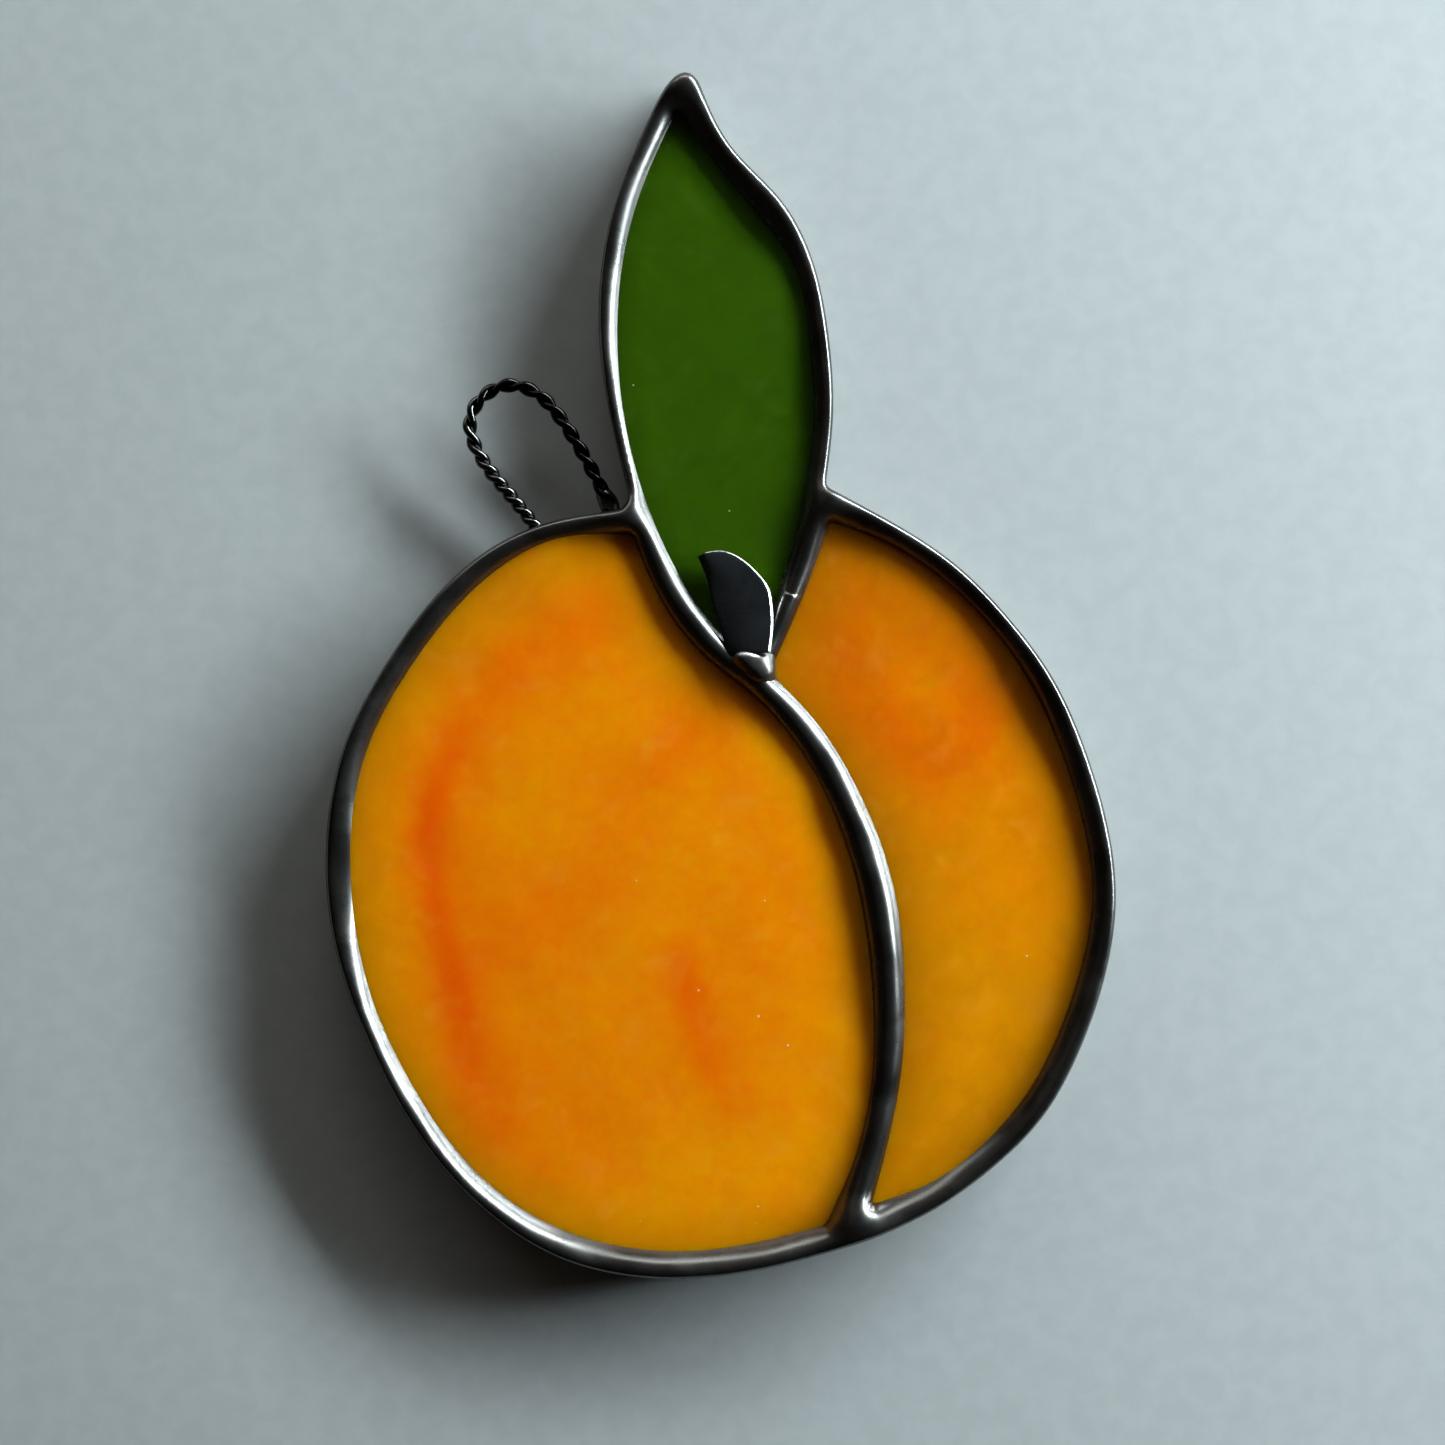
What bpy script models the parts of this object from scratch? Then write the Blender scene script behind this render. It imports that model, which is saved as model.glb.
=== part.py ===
"""A stained-glass suncatcher in the shape of a peach, lying on its back.

Three panes of opalescent glass, each with copper foil round its edge, stand in one net of solder:
a rim round the outline, a seam between the lobes and a seam on either side of the leaf. A small
metal blade, the stem, is held over the leaf's foot by a dab of the same solder, and two twisted
wires make the loop that it hangs by.

X runs to the right, Y towards the leaf's tip and Z up, out of the front. The origin lies on the
surface that the suncatcher rests on, under the middle of its box.
"""

import math

import bmesh
import bpy
import numpy as np

MM = 0.001

# Thicknesses and gaps
GLASS = 3.0 * MM
BEAD = 1.2 * MM  # how far the solder stands above either face of the glass
FOIL = 0.15 * MM
GAP = 0.1 * MM  # between glass, foil and solder
SOLDER_ROUND = 0.7 * MM  # radius of the solder's edges
WHOLE = GLASS + 2 * BEAD

# How far each pane runs on under the solder, past the edge of its window
LOBE_HIDDEN = 0.75 * MM
LEAF_HIDDEN = 0.6 * MM
FOIL_HIDDEN = 0.2 * MM  # the foil on the faces ends this far short of the window

# Outlines in millimetres: stretches of smooth curve that meet at corners
RIM = (
    ((-9.6, 18.6), (-10.6, 22.9), (-11.8, 29.2), (-12.6, 37.7), (-10.8, 50.1), (-7.3, 59.3),
     (-5.3, 62.1), (-3.6, 63.1), (-2.5, 62.2)),
    ((-2.5, 62.2), (-1.8, 60.0), (-0.1, 56.6), (3.6, 52.0), (7.0, 48.7), (9.7, 43.5),
     (11.2, 36.0), (11.8, 31.4), (11.6, 25.7), (10.9, 19.7)),
    ((10.9, 19.7), (12.3, 18.4), (16.4, 16.7), (24.1, 12.1), (33.2, 2.3), (39.5, -12.1),
     (41.4, -23.7), (38.6, -37.3), (30.4, -49.9), (20.9, -57.0), (14.8, -59.5), (3.8, -62.3),
     (-5.8, -63.1), (-15.9, -61.4), (-25.3, -55.5), (-32.7, -46.6), (-38.0, -35.8),
     (-41.2, -23.7), (-40.4, -10.0), (-37.4, -3.1), (-30.7, 7.3), (-22.7, 14.3),
     (-13.9, 16.7), (-10.3, 17.3)),
    ((-10.3, 17.3), (-9.6, 18.6)),
)
LEFT_WINDOW = (
    ((-9.2, 14.8), (-13.4, 14.9), (-21.4, 12.7), (-32.4, 1.4), (-38.2, -10.7), (-38.7, -21.9),
     (-35.2, -37.3), (-25.9, -51.9), (-14.6, -59.0), (-2.2, -60.4), (11.1, -58.0)),
    ((11.1, -58.0), (14.8, -49.0), (16.1, -36.0), (13.9, -20.5), (6.0, -4.6), (0.7, -0.4),
     (-3.2, 3.7), (-6.9, 9.0), (-9.2, 14.8)),
)
RIGHT_WINDOW = (
    ((11.5, 16.1), (16.4, 14.4), (26.6, 7.3), (34.5, -4.9), (38.9, -19.6), (37.7, -31.6),
     (30.4, -46.6), (19.6, -55.0), (15.9, -55.7)),
    ((15.9, -55.7), (18.0, -46.9), (19.3, -36.0), (18.2, -21.7), (12.8, -8.7), (5.2, 0.2)),
    ((5.2, 0.2), (7.7, 6.2), (11.5, 16.1)),
)
LEAF_WINDOW = (
    ((-4.6, 59.3), (-8.2, 50.9), (-10.7, 37.7), (-9.4, 24.9), (-4.6, 10.8), (2.5, 1.9)),
    ((2.5, 1.9), (5.8, 8.2), (7.1, 11.4), (9.5, 24.6), (9.1, 36.7), (7.0, 44.8), (4.6, 47.5),
     (1.3, 51.2), (-4.6, 59.3)),
)
RIM_CORNER = 0.5 * MM  # how far the solder has run round the outline's corners
WINDOW_CORNER = 0.35 * MM
TRACE = 0.1 * MM  # step at which an outline is traced before it is thinned
TURN = math.radians(16)  # an outline has a point for each turn this large
REACH = 8 * MM  # and one for each length this long

# Stem: the two long edges of the blade from its foot to its tip, in millimetres
STEM_LEFT = ((0.8, 1.9), (-0.2, 5.4), (-1.4, 9.2), (-2.4, 12.0))
STEM_RIGHT = ((5.2, 1.9), (5.5, 5.8), (5.0, 9.2), (2.6, 11.8), (-0.2, 13.0), (-1.4, 12.9))
STEM_SHEET = 0.6 * MM
STEM_FOOT_Z = 6.0 * MM
STEM_TIP_Z = 5.6 * MM
STEM_ARCH = 0.3 * MM  # the middle of the blade stands this far above its edges
STEM_ROWS = 9
STEM_COLUMNS = 5
SLOT_ROOM = 0.3 * MM

# Lumps of solder: middle and half sizes
STEM_DAB = ((3.6, 0.65, 5.6), (1.8, 1.9, 1.4))
WIRE_LUG = ((-11.6, 17.8, 2.7), (1.5, 1.4, 1.5))

# Hanging loop: the middle line of the twisted pair, in millimetres
LOOP = (
    (-19.8, 15.6, 2.7), (-22.2, 18.9, 3.0), (-25.3, 22.4, 3.5), (-26.6, 25.7, 4.0),
    (-25.7, 28.5, 4.4), (-22.2, 30.3, 4.6), (-18.6, 29.3, 4.5), (-15.9, 25.7, 4.1),
    (-13.1, 20.4, 3.2), (-11.5, 17.1, 2.7),
)
STRAND = 0.6 * MM
STRANDS_APART = 0.8 * MM  # between the middle lines of the two strands
TWIST = 4.6 * MM  # length of one full turn
POINTS_A_TURN = 8
SOCKET_ROOM = 0.2 * MM  # round and beyond the end of the wires
SOCKET_LENGTH = 3.0 * MM

# Colours as linear RGB, with roughness and metallic values
FINISHES = {
    "orange_glass": ((0.62, 0.17, 0.004), 0.18, 0.0),
    "green_glass": ((0.03, 0.085, 0.003), 0.18, 0.0),
    "copper_foil": ((0.55, 0.24, 0.13), 0.4, 1.0),
    "black_patina": ((0.02, 0.019, 0.018), 0.35, 0.6),
    "stem_sheet": ((0.035, 0.037, 0.043), 0.5, 0.6),
    "wire": ((0.02, 0.02, 0.021), 0.3, 0.8),
}


def clear_scene():
    for obj in list(bpy.data.objects):
        bpy.data.objects.remove(obj, do_unlink=True)


def new_collection(name):
    collection = bpy.data.collections.new(name)
    bpy.context.scene.collection.children.link(collection)
    return collection


def material(name):
    color, roughness, metallic = FINISHES[name]
    made = bpy.data.materials.new(name)
    made.use_nodes = True
    shader = made.node_tree.nodes["Principled BSDF"]
    shader.inputs["Base Color"].default_value = (*color, 1.0)
    shader.inputs["Roughness"].default_value = roughness
    shader.inputs["Metallic"].default_value = metallic
    return made


def smooth_through(points, count):
    """count points, evenly spaced, on the cubic curve through these, which is straight at its ends."""
    points = np.array(points)
    knots = np.cumsum(np.sqrt(np.linalg.norm(np.diff(points, axis=0), axis=1)))
    knots = np.concatenate([[0], knots])
    step = np.diff(knots)
    slope = np.diff(points, axis=0) / step[:, None]
    bend = np.zeros_like(points)
    system = np.diag(2 * (step[:-1] + step[1:]))
    system += np.diag(step[1:-1], 1) + np.diag(step[1:-1], -1)
    bend[1:-1] = np.linalg.solve(system, 6 * np.diff(slope, axis=0))
    dense = np.linspace(0, knots[-1], 60 * len(points))
    left = np.clip(np.searchsorted(knots, dense, "right") - 1, 0, len(step) - 1)
    along = (dense - knots[left])[:, None]
    width = step[left][:, None]
    start, end = bend[left], bend[left + 1]
    first = slope[left] - width * (2 * start + end) / 6
    traced = points[left] + along * first + along**2 * start / 2
    traced += along**3 * (end - start) / (6 * width)
    return evenly_spaced(traced, count)


def evenly_spaced(path, count):
    run = np.linalg.norm(np.diff(path, axis=0), axis=1)
    run = np.concatenate([[0], np.cumsum(run)])
    wanted = np.linspace(0, run[-1], count)
    return np.stack([np.interp(wanted, run, axis) for axis in path.T], axis=1)


def outline(stretches, corner):
    """The closed outline in metres, its corners rounded by a running average, and thinned."""
    lengths = [np.linalg.norm(np.diff(s, axis=0), axis=1).sum() * MM for s in map(np.array, stretches)]
    traced = [
        smooth_through(stretch, max(4, round(length / TRACE)))[:-1] * MM
        for stretch, length in zip(stretches, lengths)
    ]
    path = np.concatenate(traced)
    reach = np.arange(len(path))
    reach = np.minimum(reach, len(path) - reach) * TRACE
    weight = np.exp(-0.5 * (reach / corner) ** 2)
    spread = np.fft.fft(weight / weight.sum())[:, None]
    path = np.fft.ifft(np.fft.fft(path, axis=0) * spread, axis=0).real
    return thinned(path)


def thinned(path):
    """As few points as keep each turn under TURN and each side under REACH."""
    side = np.roll(path, -1, axis=0) - path
    heading = np.arctan2(side[:, 1], side[:, 0])
    turn = np.abs((np.roll(heading, -1) - heading + np.pi) % (2 * np.pi) - np.pi)
    cost = turn / TURN + np.linalg.norm(side, axis=1) / REACH
    cost = np.concatenate([[0], np.cumsum(cost)])
    count = round(cost[-1])
    wanted = np.arange(count) * cost[-1] / count
    closed = np.concatenate([path, path[:1]])
    return np.stack([np.interp(wanted, cost, axis) for axis in closed.T], axis=1)


def grown(path, distance):
    """The closed outline with each side moved out by this distance."""
    side = np.roll(path, -1, axis=0) - path
    side /= np.linalg.norm(side, axis=1)[:, None]
    area = np.sum(path[:, 0] * np.roll(path[:, 1], -1) - path[:, 1] * np.roll(path[:, 0], -1))
    out = np.stack([side[:, 1], -side[:, 0]], axis=1) * np.sign(area)
    both = out + np.roll(out, 1, axis=0)
    return path + distance * 2 * both / np.sum(both**2, axis=1)[:, None]


def as_mesh(curve_object, collection):
    """The curve's shape as a mesh object of the same name, its caps joined to its sides."""
    name = curve_object.name
    graph = bpy.context.evaluated_depsgraph_get()
    mesh = bpy.data.meshes.new_from_object(curve_object.evaluated_get(graph))
    place = curve_object.matrix_world.copy()
    bpy.data.objects.remove(curve_object, do_unlink=True)
    welded = bmesh.new()
    welded.from_mesh(mesh)
    bmesh.ops.remove_doubles(welded, verts=welded.verts, dist=0.001 * MM)
    bmesh.ops.recalc_face_normals(welded, faces=welded.faces)
    welded.to_mesh(mesh)
    welded.free()
    mesh.name = name
    made = bpy.data.objects.new(name, mesh)
    made.matrix_world = place
    collection.objects.link(made)
    return made


def plate(name, outlines, low, high, collection, rounded=0.0):
    """A flat plate with these outlines, the first one its outside, from low to high along Z."""
    curve = bpy.data.curves.new(name, "CURVE")
    curve.dimensions = "2D"
    curve.fill_mode = "BOTH"
    curve.extrude = (high - low) / 2 - rounded
    curve.bevel_depth = rounded
    curve.bevel_resolution = 1
    curve.offset = -rounded
    for path in outlines:
        spline = curve.splines.new("POLY")
        spline.points.add(len(path) - 1)
        flat = np.zeros(len(path))
        spline.points.foreach_set("co", np.column_stack([path, flat, flat + 1]).ravel())
        spline.use_cyclic_u = True
    made = bpy.data.objects.new(name, curve)
    made.location.z = (low + high) / 2
    collection.objects.link(made)
    bpy.context.view_layer.update()
    return as_mesh(made, collection)


def tube(name, path, radius, collection):
    """A round wire along these points, with flat ends."""
    curve = bpy.data.curves.new(name, "CURVE")
    curve.dimensions = "3D"
    curve.bevel_depth = radius
    curve.bevel_resolution = 2
    curve.use_fill_caps = True
    spline = curve.splines.new("POLY")
    spline.points.add(len(path) - 1)
    spline.points.foreach_set("co", np.column_stack([path, np.ones(len(path))]).ravel())
    made = bpy.data.objects.new(name, curve)
    collection.objects.link(made)
    return as_mesh(made, collection)


def lump(name, middle, half_sizes, collection):
    mesh = bpy.data.meshes.new(name)
    ball = bmesh.new()
    bmesh.ops.create_uvsphere(ball, u_segments=16, v_segments=8, radius=1.0)
    bmesh.ops.scale(ball, vec=np.array(half_sizes) * MM, verts=ball.verts)
    ball.to_mesh(mesh)
    ball.free()
    made = bpy.data.objects.new(name, mesh)
    made.location = np.array(middle) * MM
    collection.objects.link(made)
    return made


def blade(name, sheet, room, collection):
    """The stem: a sheet between its two long edges, arched across, with room added all round it."""
    left = smooth_through(STEM_LEFT, STEM_ROWS) * MM
    right = smooth_through(STEM_RIGHT, STEM_ROWS) * MM
    up = np.linspace(0, 1, STEM_ROWS)[:, None]
    across = np.linspace(0, 1, STEM_COLUMNS)[None, :]
    out = (right - left) / np.linalg.norm(right - left, axis=1)[:, None] * room
    left = (left - out)[:, None, :]
    right = (right + out)[:, None, :]
    flat = left + (right - left) * across[:, :, None]
    flat[0, :, 1] -= room
    height = STEM_FOOT_Z + (STEM_TIP_Z - STEM_FOOT_Z) * up
    height = height + STEM_ARCH * (4 * across * (1 - across) - 0.5) * (1 - up)
    points = np.concatenate([flat, height[:, :, None]], axis=2).reshape(-1, 3)
    corner = np.arange(STEM_ROWS * STEM_COLUMNS).reshape(STEM_ROWS, STEM_COLUMNS)
    quads = np.stack([corner[:-1, :-1], corner[:-1, 1:], corner[1:, 1:], corner[1:, :-1]], axis=2)
    mesh = bpy.data.meshes.new(name)
    mesh.from_pydata(points.tolist(), [], quads.reshape(-1, 4).tolist())
    made = bpy.data.objects.new(name, mesh)
    collection.objects.link(made)
    solid = made.modifiers.new("sheet", "SOLIDIFY")
    solid.thickness = sheet
    solid.offset = 0.0
    return made


def twisted(path, phase):
    """One strand of the pair: a helix round the path, starting at this angle."""
    run = np.linalg.norm(np.diff(path, axis=0), axis=1)
    run = np.concatenate([[0], np.cumsum(run)])
    ahead = np.gradient(path, axis=0)
    ahead /= np.linalg.norm(ahead, axis=1)[:, None]
    aside = np.cross(ahead, (0, 0, 1))
    aside /= np.linalg.norm(aside, axis=1)[:, None]
    above = np.cross(aside, ahead)
    angle = (2 * math.pi * run / TWIST + phase)[:, None]
    return path + STRANDS_APART / 2 * (np.cos(angle) * aside + np.sin(angle) * above)


def boolean(obj, operation, other):
    other.hide_render = True
    other.display_type = "WIRE"
    made = obj.modifiers.new(f"{operation.lower()} {other.name}", "BOOLEAN")
    made.operation = operation
    made.object = other


def finished(obj, finish):
    obj.data.materials.clear()
    obj.data.materials.append(finish)
    obj.data.shade_smooth()
    obj.data.set_sharp_from_angle(angle=math.radians(40))


def pane_with_foil(name, window, hidden, finish, foil_finish, parts, cutters):
    """A pane and the foil folded over its edge. It gives the cutter that makes their groove."""
    low, high = BEAD, BEAD + GLASS
    glass = plate(f"{name}_glass", [grown(window, hidden)], low, high, parts)
    finished(glass, finish)
    inside = hidden + GAP
    outside = inside + FOIL
    wrap = plate(
        f"{name}_foil", [grown(window, outside)], low - GAP - FOIL, high + GAP + FOIL, parts
    )
    bed = plate(f"{name}_bed", [grown(window, inside)], low - GAP, high + GAP, cutters)
    view = plate(f"{name}_view", [grown(window, FOIL_HIDDEN)], -BEAD, WHOLE + BEAD, cutters)
    boolean(wrap, "DIFFERENCE", bed)
    boolean(wrap, "DIFFERENCE", view)
    finished(wrap, foil_finish)
    room = 2 * GAP + FOIL
    return plate(f"{name}_groove", [grown(window, outside + GAP)], low - room, high + room, cutters)


def hanging_loop(parts, cutters, finish):
    """The two strands, and the cutters for the sockets that their ends stand in."""
    length = np.linalg.norm(np.diff(LOOP, axis=0), axis=1).sum() * MM
    path = smooth_through(LOOP, round(length / TWIST * POINTS_A_TURN)) * MM
    for name, phase in (("wire_strand_a", 0), ("wire_strand_b", math.pi)):
        finished(tube(name, twisted(path, phase), STRAND / 2, parts), finish)
    radius = (STRANDS_APART + STRAND) / 2 + SOCKET_ROOM
    sockets = []
    for name, leg in (("left_socket", path), ("right_socket", path[::-1])):
        ahead = (leg[1] - leg[0]) / np.linalg.norm(leg[1] - leg[0])
        ends = np.array([leg[0] - ahead * SOCKET_ROOM, leg[0] + ahead * SOCKET_LENGTH])
        sockets.append(tube(name, ends, radius, cutters))
    return sockets


def suncatcher():
    clear_scene()
    parts = new_collection("peach_suncatcher")
    cutters = new_collection("cutters")
    orange = material("orange_glass")
    green = material("green_glass")
    copper = material("copper_foil")
    left = outline(LEFT_WINDOW, WINDOW_CORNER)
    right = outline(RIGHT_WINDOW, WINDOW_CORNER)
    leaf = outline(LEAF_WINDOW, WINDOW_CORNER)
    grooves = [
        pane_with_foil("left_lobe", left, LOBE_HIDDEN, orange, copper, parts, cutters),
        pane_with_foil("right_lobe", right, LOBE_HIDDEN, orange, copper, parts, cutters),
        pane_with_foil("leaf", leaf, LEAF_HIDDEN, green, copper, parts, cutters),
    ]
    sockets = hanging_loop(parts, cutters, material("wire"))
    finished(blade("stem_blade", STEM_SHEET, 0.0, parts), material("stem_sheet"))
    rim = outline(RIM, RIM_CORNER)
    net = plate("solder_net", [rim, left, right, leaf], 0.0, WHOLE, parts, SOLDER_ROUND)
    boolean(net, "UNION", lump("stem_dab", *STEM_DAB, cutters))
    boolean(net, "UNION", lump("wire_lug", *WIRE_LUG, cutters))
    slot = blade("stem_slot", STEM_SHEET + 2 * SLOT_ROOM, SLOT_ROOM, cutters)
    for cutter in (*grooves, *sockets, slot):
        boolean(net, "DIFFERENCE", cutter)
    finished(net, material("black_patina"))


suncatcher()
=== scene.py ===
"""The looks of a stained-glass peach suncatcher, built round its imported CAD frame.

X runs to the right, Y towards the leaf's tip and Z up, out of the front. Shapes are worked out in
millimetres and become metres when their meshes are made.
"""

import bpy
import numpy as np
from mathutils.geometry import delaunay_2d_cdt
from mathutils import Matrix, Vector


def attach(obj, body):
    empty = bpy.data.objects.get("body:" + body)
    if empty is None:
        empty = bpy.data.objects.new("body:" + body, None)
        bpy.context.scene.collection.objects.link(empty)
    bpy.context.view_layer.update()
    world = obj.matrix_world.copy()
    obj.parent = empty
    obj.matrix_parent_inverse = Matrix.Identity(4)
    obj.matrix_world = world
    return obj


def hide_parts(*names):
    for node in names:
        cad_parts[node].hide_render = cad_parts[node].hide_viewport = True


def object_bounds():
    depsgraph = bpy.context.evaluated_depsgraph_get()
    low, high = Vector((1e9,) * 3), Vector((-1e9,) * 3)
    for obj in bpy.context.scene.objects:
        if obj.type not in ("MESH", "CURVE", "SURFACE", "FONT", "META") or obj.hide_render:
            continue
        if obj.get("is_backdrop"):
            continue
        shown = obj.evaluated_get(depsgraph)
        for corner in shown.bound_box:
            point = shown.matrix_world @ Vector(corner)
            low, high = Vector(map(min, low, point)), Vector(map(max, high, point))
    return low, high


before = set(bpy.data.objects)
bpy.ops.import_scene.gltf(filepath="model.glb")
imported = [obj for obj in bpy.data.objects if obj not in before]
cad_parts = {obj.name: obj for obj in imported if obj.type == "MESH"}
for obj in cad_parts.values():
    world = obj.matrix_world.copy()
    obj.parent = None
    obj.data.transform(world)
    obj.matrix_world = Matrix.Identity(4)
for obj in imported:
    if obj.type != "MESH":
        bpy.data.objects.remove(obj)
cad_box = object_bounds()

# Panes
# Three pieces of 3 mm opalescent glass, cut by hand and ground to fit. The milky glass has red
# and orange streaks stirred into yellow, and the leaf is one even green. Rolling has left the
# faces slightly wavy, and each pane runs on for less than a millimetre under the solder.
MM = 0.001
GLASS_LOW = 1.2
GLASS_HIGH = 4.2
WAVES = 0.012  # how far the rolled faces rise and fall
LEFT_WINDOW = (
    ((-9.26, 14.68), (-16.57, 14.46), (-23.16, 11.31), (-28.53, 6.26), (-32.92, 0.32), (-36.5, -6.14),
     (-38.53, -13.2), (-38.94, -20.59), (-38.21, -28), (-36.27, -35.2), (-33.13, -41.94),
     (-29.2, -48.23), (-24.19, -53.72), (-17.99, -57.82), (-10.9, -60.07), (-3.49, -60.64),
     (3.88, -59.69), (11.01, -57.9)),
    ((11.01, -57.9), (13.97, -51.18), (15.71, -44), (16.12, -36.6), (15.59, -29.2), (14.32, -21.91),
     (12.04, -14.84), (8.65, -8.24), (3.85, -2.63), (-1.85, 2.07), (-6.34, 7.97), (-9.26, 14.68)),
)
RIGHT_WINDOW = (
    ((11.49, 16.1), (18.22, 13.45), (24.17, 9.35), (29.15, 4.14), (33.08, -1.92), (35.99, -8.55),
     (38.08, -15.48), (39.09, -22.63), (38.17, -29.81), (35.96, -36.7), (32.77, -43.2), (28.23, -48.8),
     (22.55, -53.22), (15.87, -55.73)),
    ((15.87, -55.73), (17.78, -48.4), (19.08, -40.96), (19.34, -33.43), (18.83, -25.92),
     (17.13, -18.62), (14.22, -11.73), (10.3, -5.35), (5.14, 0.2)),
    ((5.14, 0.2), (8.58, 8.06), (11.49, 16.1)),
)
LEAF_WINDOW = (
    ((-4.63, 59.34), (-7.53, 53.07), (-9.68, 46.52), (-10.74, 39.7), (-10.79, 32.8), (-9.95, 25.95),
     (-8.22, 19.27), (-5.62, 12.9), (-2.13, 6.98), (2.5, 1.89)),
    ((2.5, 1.89), (5.74, 8.13), (7.85, 14.78), (9.24, 21.66), (9.78, 28.66), (9.27, 35.66),
     (7.92, 42.55), (4.04, 48.28), (-0.43, 53.65), (-4.63, 59.34)),
)
WINDOW_CORNER = 0.35
# Painted shade in each pane beside the solder, where the beads shade the glass: how dark it is, how
# far from the solder it reaches, and how much farther it reaches towards the top
EDGE_SHADE = 0.6, 8.0, 0.9
LEAF_SHADE = 0.4, 2.6, 0.0
STEP = 0.25  # between the points of an outline
PANE_GRID = 0.7  # between the points inside a pane
# Streaks: x, y, half width and strength along each one; plus is redder and minus yellower
LEFT_STREAKS = (
    ((-27.0, -6.0, 1.4, 0.12), (-28.9, -9.5, 1.4, 0.28), (-30.3, -14.0, 1.4, 0.42),
     (-30.7, -19.0, 1.4, 0.5), (-30.0, -24.0, 1.4, 0.42), (-29.0, -28.5, 1.5, 0.42),
     (-27.7, -33.5, 1.6, 0.48), (-27.1, -38.0, 1.7, 0.36), (-26.4, -43.0, 2.0, 0.24),
     (-24.6, -49.0, 2.4, 0.16)),
    ((-12.0, 7.0, 3.0, 0.2), (-18.5, 3.5, 3.2, 0.22), (-24.0, -1.5, 3.2, 0.24),
     (-28.0, -9.0, 3.4, 0.26), (-29.0, -20.0, 3.8, 0.26), (-27.0, -32.0, 4.0, 0.26),
     (-25.0, -45.0, 4.4, 0.24), (-21.0, -53.0, 3.6, 0.18)),
    ((-22.0, -27.5, 4.0, 0.14), (-17.0, -25.5, 4.4, 0.2), (-13.5, -22.0, 3.6, 0.16),
     (-8.0, -12.5, 3.4, 0.14), (-3.0, -6.0, 3.4, 0.22), (1.0, -3.6, 2.4, 0.24)),
    ((-4.0, -28.5, 1.3, 0.14), (-3.7, -31.5, 1.5, 0.34), (-2.8, -35.5, 1.7, 0.34),
     (-1.6, -40.0, 2.1, 0.28), (0.8, -44.5, 2.2, 0.18)),
    ((-2.5, -33.0, 4.6, 0.1), (2.0, -40.0, 4.6, 0.08)),
    ((-15.0, -42.0, 5.0, 0.1), (-12.0, -49.0, 4.4, 0.1)),
    ((6.8, -7.2, 2.2, -0.3), (8.6, -10.5, 1.8, -0.16)),
    ((9.0, -41.0, 3.6, -0.1), (6.0, -50.0, 4.6, -0.14), (-5.0, -53.0, 4.6, -0.16)),
)
RIGHT_STREAKS = (
    ((11.0, 9.5, 2.8, 0.16), (12.5, 3.0, 3.2, 0.26), (15.0, -3.5, 3.4, 0.3),
     (19.5, -8.0, 3.2, 0.3), (24.5, -8.6, 3.0, 0.26), (28.0, -4.5, 2.8, 0.22)),
    ((17.0, 9.5, 3.6, 0.14), (24.0, 5.0, 4.0, 0.18), (29.0, -1.0, 3.4, 0.16)),
    ((18.5, 2.5, 2.4, -0.05), (22.0, -1.0, 2.4, -0.05)),
    ((26.0, -18.0, 7.0, -0.12), (27.0, -28.0, 8.0, -0.22), (31.0, -38.4, 6.5, -0.32),
     (26.0, -47.0, 5.0, -0.46), (18.3, -53.0, 4.5, -0.6)),
)


def smooth_through(points, step):
    """Points a step apart on the natural cubic curve through these. Each span between two knots
    is a cubic, and one linear system gives the second slopes at which neighbours agree."""
    points = np.array(points, float)
    knots = np.cumsum(np.sqrt(np.linalg.norm(np.diff(points, axis=0), axis=1)))
    knots = np.concatenate([[0], knots])
    span = np.diff(knots)
    slope = np.diff(points, axis=0) / span[:, None]
    bend = np.zeros_like(points)
    system = np.diag(2 * (span[:-1] + span[1:])) + np.diag(span[1:-1], 1) + np.diag(span[1:-1], -1)
    bend[1:-1] = np.linalg.solve(system, 6 * np.diff(slope, axis=0))
    fine = np.linspace(0, knots[-1], 80 * len(points))
    left = np.clip(np.searchsorted(knots, fine, "right") - 1, 0, len(span) - 1)
    along = (fine - knots[left])[:, None]
    width = span[left][:, None]
    start, end = bend[left], bend[left + 1]
    path = points[left] + along * (slope[left] - width * (2 * start + end) / 6)
    path += along**2 * start / 2 + along**3 * (end - start) / (6 * width)
    return evenly_spaced(path, step)


def evenly_spaced(path, step):
    run = np.concatenate([[0], np.cumsum(np.linalg.norm(np.diff(path, axis=0), axis=1))])
    wanted = np.linspace(0, run[-1], max(3, round(run[-1] / step)) + 1)
    return np.stack([np.interp(wanted, run, axis) for axis in path.T], axis=1)


def turning(path):
    """Twice the signed area inside a closed outline: plus where it runs anticlockwise."""
    ahead = np.roll(path, -1, axis=0)
    return np.sum(path[:, 0] * ahead[:, 1] - path[:, 1] * ahead[:, 0])


def outline(stretches, corner):
    """The stretches end to end as one closed outline that runs anticlockwise. A running average,
    weighted by a bell curve as wide as the corner, rounds the corners where stretches meet."""
    fine = 0.1
    path = np.concatenate([smooth_through(stretch, fine)[:-1] for stretch in stretches])
    reach = np.arange(len(path))
    reach = np.minimum(reach, len(path) - reach) * fine
    weight = np.exp(-0.5 * (reach / corner) ** 2)
    spread = np.fft.fft(weight / weight.sum())[:, None]
    path = np.fft.ifft(np.fft.fft(path, axis=0) * spread, axis=0).real
    path = evenly_spaced(np.concatenate([path, path[:1]]), STEP)[:-1]
    return path if turning(path) > 0 else path[::-1]


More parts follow.
